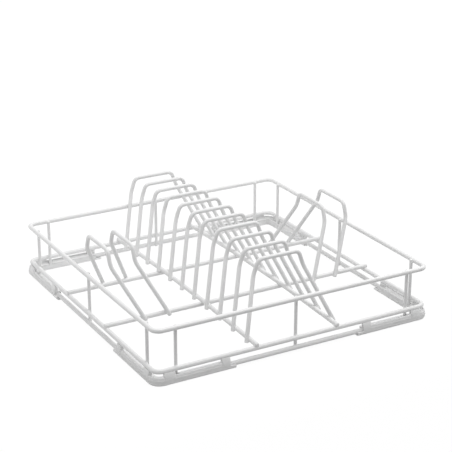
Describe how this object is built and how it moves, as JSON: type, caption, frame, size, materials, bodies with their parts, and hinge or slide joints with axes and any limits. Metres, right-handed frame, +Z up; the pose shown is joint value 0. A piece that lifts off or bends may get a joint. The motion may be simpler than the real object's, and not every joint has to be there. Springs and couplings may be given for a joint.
{
  "type": "dishwasher plate rack",
  "caption": "Square coated-wire dishwasher rack with a row of plate loops that lean back, loops at each side that lean outward, a low rim and L-shaped plastic corner runners.",
  "frame": {"origin": "plan centre of the rack, level with the undersides of the corner runners", "axes": "+X to the right along the front, +Y to the back, where the plate loops lean, +Z up"},
  "size_m": [0.4, 0.4, 0.1172],
  "materials": {
    "coated_wire": "satin",
    "runner_plastic": "matte"
  },
  "bodies": {
    "root": {"base_ring": "coated_wire", "corner_runner_back_left": "runner_plastic", "corner_runner_back_right": "runner_plastic", "corner_runner_front_left": "runner_plastic", "corner_runner_front_right": "runner_plastic", "cross_wire_back": "coated_wire", "cross_wire_front": "coated_wire", "floor_ring": "coated_wire", "plate_loop_01": "coated_wire", "plate_loop_02": "coated_wire", "plate_loop_03": "coated_wire", "plate_loop_04": "coated_wire", "plate_loop_05": "coated_wire", "plate_loop_06": "coated_wire", "plate_loop_07": "coated_wire", "plate_loop_08": "coated_wire", "plate_loop_09": "coated_wire", "plate_loop_10": "coated_wire", "plate_loop_11": "coated_wire", "rail_left": "coated_wire", "rail_right": "coated_wire", "rim_ring": "coated_wire", "side_loop_left_1": "coated_wire", "side_loop_left_2": "coated_wire", "side_loop_right_1": "coated_wire", "side_loop_right_2": "coated_wire", "upright_back_a": "coated_wire", "upright_back_b": "coated_wire", "upright_back_c": "coated_wire", "upright_front_a": "coated_wire", "upright_front_b": "coated_wire", "upright_front_c": "coated_wire", "upright_left_a": "coated_wire", "upright_left_b": "coated_wire", "upright_left_c": "coated_wire", "upright_right_a": "coated_wire", "upright_right_b": "coated_wire", "upright_right_c": "coated_wire"}
  },
  "joints": []
}
